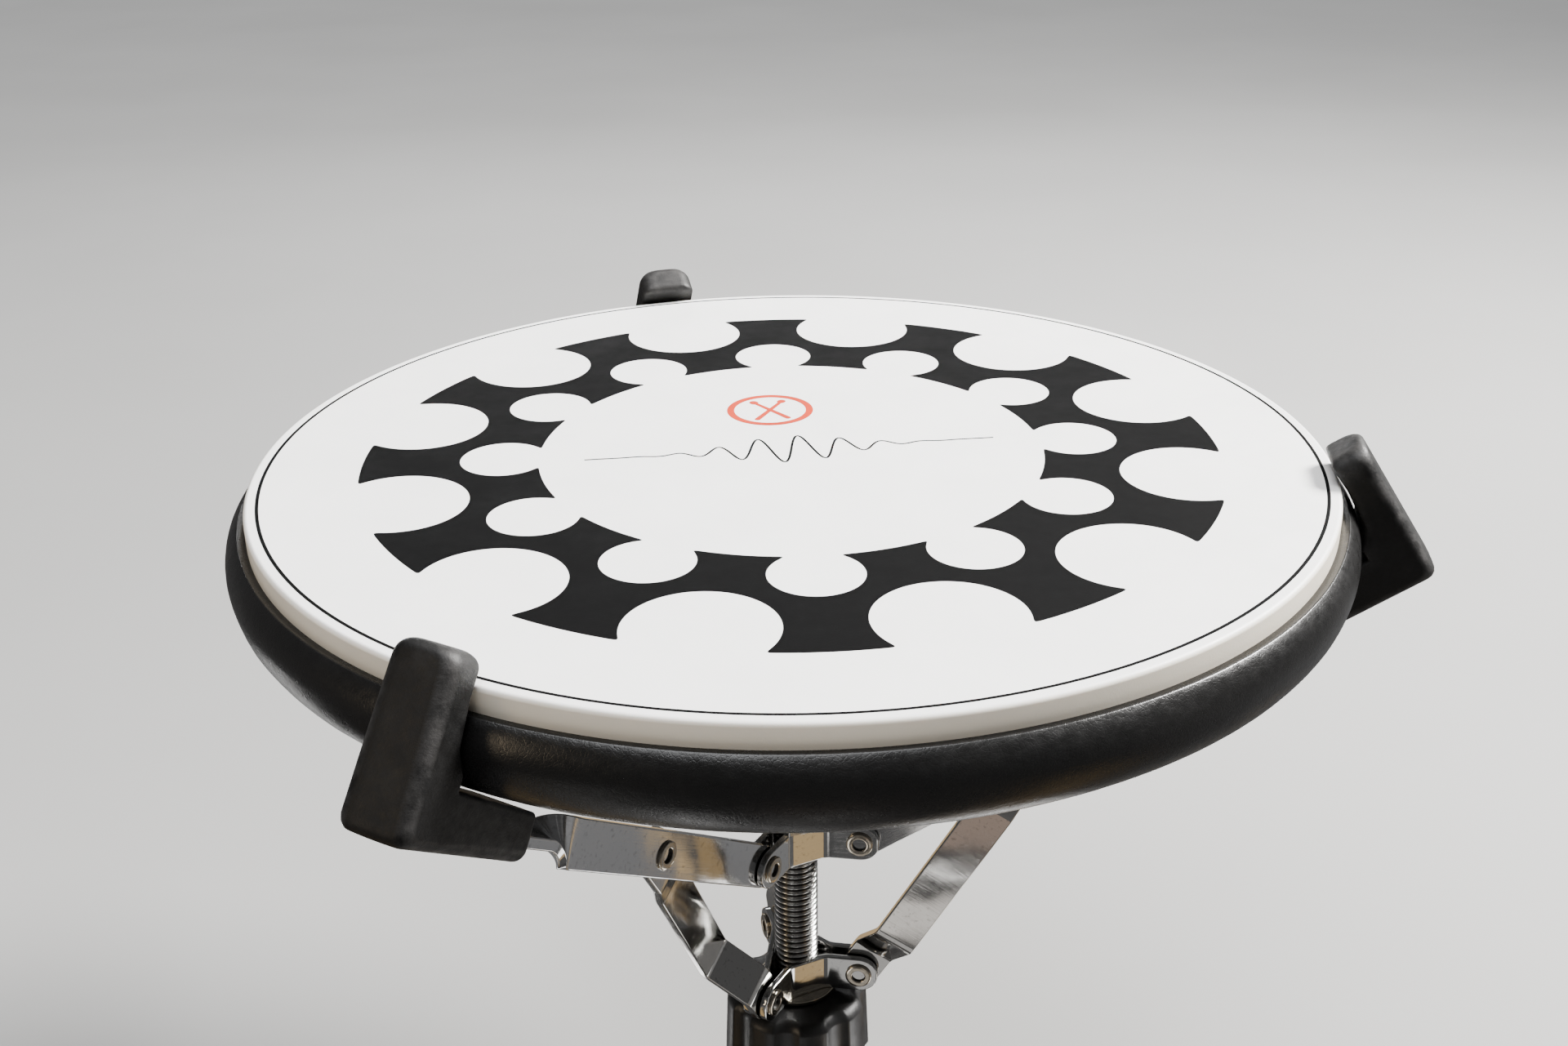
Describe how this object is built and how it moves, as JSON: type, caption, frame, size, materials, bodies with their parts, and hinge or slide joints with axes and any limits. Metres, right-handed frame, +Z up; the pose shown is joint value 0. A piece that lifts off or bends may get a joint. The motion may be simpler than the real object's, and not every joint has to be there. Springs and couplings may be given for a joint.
{
  "type": "practice pad in a folding basket",
  "caption": "Round drum practice pad with a white playing surface and a black rubber rim, held in a folding basket of arms with rubber grips that a threaded knob opens and closes.",
  "frame": {"origin": "on the threaded rod's axis, at the upper end of the plain stem that fits into a stand", "axes": "+Z runs up the rod to the playing surface, +X points along the first arm"},
  "size_m": [0.3251, 0.3239, 0.2704],
  "materials": {
    "white_silicone": "smooth satin white silicone",
    "core_board": "plain fibreboard, not seen",
    "rim_rubber": "black moulded rubber with a fine leather-like grain",
    "mat_rubber": "matt black cellular rubber",
    "grip_rubber": "matt black rubber, worn on its edges",
    "chrome": "chrome plate over drawn steel strip",
    "rivet_steel": "nickel-plated rivet",
    "zinc_steel": "bright zinc plate",
    "knob_plastic": "satin black moulded nylon"
  },
  "bodies": {
    "rod": {"threaded_rod": "zinc_steel", "top_nut": "zinc_steel", "upper_bracket_1": "chrome", "upper_bracket_2": "chrome", "upper_bracket_3": "chrome", "upper_hub_pins": "rivet_steel"},
    "pad": {"playing_surface": "white_silicone", "core_board": "core_board", "base_moulding": "rim_rubber", "underside_mat": "mat_rubber"},
    "lower_hub": {"lower_bracket_1": "chrome", "lower_bracket_2": "chrome", "lower_bracket_3": "chrome", "lower_hub_pins": "rivet_steel", "thrust_washer": "rivet_steel"},
    "knob": {"adjusting_knob": "knob_plastic", "knob_insert": "zinc_steel"},
    "arm_1": {"arm_1": "chrome", "grip_1": "grip_rubber", "link_pin_1": "rivet_steel"},
    "link_1": {"link_1": "chrome"},
    "arm_2": {"arm_2": "chrome", "grip_2": "grip_rubber", "link_pin_2": "rivet_steel"},
    "link_2": {"link_2": "chrome"},
    "arm_3": {"arm_3": "chrome", "grip_3": "grip_rubber", "link_pin_3": "rivet_steel"},
    "link_3": {"link_3": "chrome"}
  },
  "joints": [
    {"name": "knob_turn", "type": "hinge", "parent": "lower_hub", "child": "knob", "pos_m": [0, 0, 0.03], "axis": [0, 0, 1], "range_deg": [-1303.51, 0]},
    {"name": "lower_hub_slide", "type": "slide", "parent": "rod", "child": "lower_hub", "axis": [0, 0, 1], "range_m": [-0.00724, 0]},
    {"name": "pad_drop", "type": "slide", "parent": "rod", "child": "pad", "axis": [0, 0, 1], "range_m": [-0.03802, 0]},
    {"name": "arm_1_swing", "type": "hinge", "parent": "rod", "child": "arm_1", "pos_m": [0.0203, 0, 0.1033], "axis": [0, 1, 0], "range_deg": [0, 12.02]},
    {"name": "link_1_swing", "type": "hinge", "parent": "lower_hub", "child": "link_1", "pos_m": [0.0203, 0, 0.0536], "axis": [0, 1, 0], "range_deg": [0, 4.36]},
    {"name": "arm_2_swing", "type": "hinge", "parent": "rod", "child": "arm_2", "pos_m": [-0.0089, 0.01825, 0.1033], "axis": [-0.8988, -0.4384, 0], "range_deg": [0, 12.02]},
    {"name": "link_2_swing", "type": "hinge", "parent": "lower_hub", "child": "link_2", "pos_m": [-0.0089, 0.01825, 0.0536], "axis": [-0.8988, -0.4384, 0], "range_deg": [0, 4.36]},
    {"name": "arm_3_swing", "type": "hinge", "parent": "rod", "child": "arm_3", "pos_m": [-0.00734, -0.01893, 0.1033], "axis": [0.9323, -0.3616, 0], "range_deg": [0, 12.02]},
    {"name": "link_3_swing", "type": "hinge", "parent": "lower_hub", "child": "link_3", "pos_m": [-0.00734, -0.01893, 0.0536], "axis": [0.9323, -0.3616, 0], "range_deg": [0, 4.36]}
  ],
  "couplings": [
    {"joint": "knob_turn", "follows": "lower_hub_slide", "rad_per_m": 3141.6},
    {"joint": "pad_drop", "follows": "lower_hub_slide", "ratio": 5.2475},
    {"joint": "arm_1_swing", "follows": "lower_hub_slide", "rad_per_m": -28.922},
    {"joint": "link_1_swing", "follows": "lower_hub_slide", "rad_per_m": -10.455},
    {"joint": "arm_2_swing", "follows": "lower_hub_slide", "rad_per_m": -28.922},
    {"joint": "link_2_swing", "follows": "lower_hub_slide", "rad_per_m": -10.455},
    {"joint": "arm_3_swing", "follows": "lower_hub_slide", "rad_per_m": -28.922},
    {"joint": "link_3_swing", "follows": "lower_hub_slide", "rad_per_m": -10.455}
  ]
}
